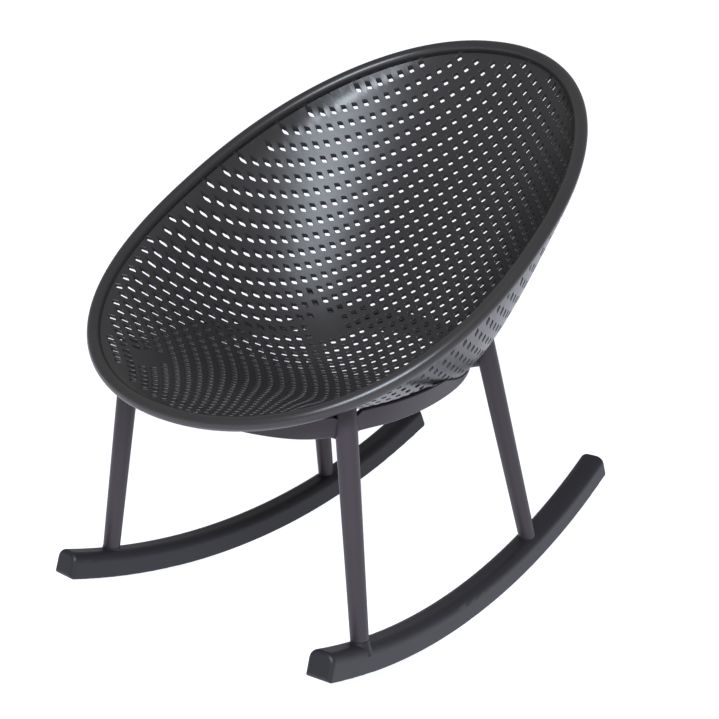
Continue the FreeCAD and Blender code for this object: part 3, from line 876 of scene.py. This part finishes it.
def plastic(name, colour, roughness, shine):
    """Satin moulded plastic: a fine grain in the surface and faint unevenness in its tone."""
    material, tree, surface = shader(name)
    surface.inputs["Specular IOR Level"].default_value = shine
    place = tree.nodes.new("ShaderNodeTexCoord")
    fine = noise(tree, place, GRAIN_SIZE, GRAIN_DETAIL)
    broad = noise(tree, place, MOTTLE_SIZE, MOTTLE_DETAIL)
    bump = tree.nodes.new("ShaderNodeBump")
    bump.inputs["Strength"].default_value = GRAIN_STRENGTH
    bump.inputs["Distance"].default_value = GRAIN_DEPTH
    tree.links.new(fine, bump.inputs["Height"])
    tree.links.new(bump.outputs["Normal"], surface.inputs["Normal"])
    shade = tree.nodes.new("ShaderNodeVectorMath")
    shade.operation = "SCALE"
    shade.inputs[0].default_value = colour
    tree.links.new(spread(tree, broad, 1.0, MOTTLE_TONE), shade.inputs["Scale"])
    tree.links.new(shade.outputs["Vector"], surface.inputs["Base Color"])
    tree.links.new(spread(tree, broad, roughness, MOTTLE_ROUGHNESS), surface.inputs["Roughness"])
    return material


def metal(name, colour, roughness):
    material, tree, surface = shader(name)
    surface.inputs["Base Color"].default_value = (*colour, 1.0)
    surface.inputs["Metallic"].default_value = 1.0
    surface.inputs["Roughness"].default_value = roughness
    return material


def dress(node, material):
    node.data.materials.clear()
    node.data.materials.append(material)
    for polygon in node.data.polygons:
        polygon.material_index = 0


def floor():
    """A wide pale floor that glows a little, so that it comes out white."""
    far = FLOOR_HALF
    made = mesh_object("floor", [(-far, -far, 0), (far, -far, 0), (far, far, 0), (-far, far, 0)],
                       [(0, 1, 2, 3)])
    material, tree, surface = shader("floor_white")
    surface.inputs["Base Color"].default_value = (FLOOR_TONE, FLOOR_TONE, FLOOR_TONE, 1.0)
    surface.inputs["Roughness"].default_value = 1.0
    surface.inputs["Specular IOR Level"].default_value = 0.0
    surface.inputs["Emission Color"].default_value = (*FLOOR_GLOW, 1.0)
    surface.inputs["Emission Strength"].default_value = FLOOR_GLOW_STRENGTH
    made.data.materials.append(material)
    return made


def surround():
    world = bpy.data.worlds.new("surround")
    world.use_nodes = True
    background = world.node_tree.nodes["Background"]
    background.inputs["Color"].default_value = (1.0, 1.0, 1.0, 1.0)
    background.inputs["Strength"].default_value = SURROUND_STRENGTH
    bpy.context.scene.world = world


def front_box():
    """The soft box whose reflection lies in the bowl."""
    data = bpy.data.lights.new("front_box", "AREA")
    data.shape = "RECTANGLE"
    data.size, data.size_y = FRONT_BOX_SIZE
    data.energy = FRONT_BOX_POWER
    data.color = FRONT_BOX_COLOUR
    light = in_scene("front_box", data)
    light.location = FRONT_BOX_PLACE
    light.rotation_mode = "QUATERNION"
    direction = Vector(FRONT_BOX_AIM) - light.location
    light.rotation_quaternion = direction.to_track_quat("-Z", "Y")


def camera():
    """Stands where the photo was taken from, moved with the chair's lean."""
    forward = Vector((-math.sin(CAMERA_YAW) * math.cos(CAMERA_PITCH),
                      math.cos(CAMERA_YAW) * math.cos(CAMERA_PITCH), math.sin(CAMERA_PITCH)))
    level = Vector((math.cos(CAMERA_YAW), math.sin(CAMERA_YAW), 0.0))
    upright = level.cross(forward)
    right = level * math.cos(CAMERA_ROLL) + upright * math.sin(CAMERA_ROLL)
    up = upright * math.cos(CAMERA_ROLL) - level * math.sin(CAMERA_ROLL)
    turn = Matrix((right, up, -forward)).transposed().to_4x4()
    data = bpy.data.cameras.new("camera")
    data.sensor_width = SENSOR_WIDTH
    data.lens = FOCAL_LENGTH * SENSOR_WIDTH
    made = in_scene("camera", data)
    made.matrix_world = rest_matrix() @ Matrix.Translation(CAMERA_PLACE) @ turn
    bpy.context.scene.camera = made


SHELL_PLASTIC = plastic("shell_plastic", *SHELL_LOOK)
FRAME_PLASTIC = plastic("frame_plastic", *FRAME_LOOK)
ROCKER_PLASTIC = plastic("rocker_plastic", *ROCKER_LOOK)
STEEL = metal("steel", *STEEL_LOOK)
BRASS = metal("brass", *BRASS_LOOK)

shell_moulding = seat_shell(SHELL_PLASTIC)
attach(shell_moulding, "root")
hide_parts("seat_shell")

frame_moulding = leg_frame(FRAME_PLASTIC)
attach(frame_moulding, "root")
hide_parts("leg_frame")

for name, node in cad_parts.items():
    if name in ("rocker_left", "rocker_right"):
        dress(node, ROCKER_PLASTIC)
    elif name.startswith("leg_insert"):
        dress(node, BRASS)
    elif name not in ("seat_shell", "leg_frame"):
        dress(node, STEEL)

floor()
surround()
front_box()
camera()
bpy.context.scene.view_settings.view_transform = "Standard"
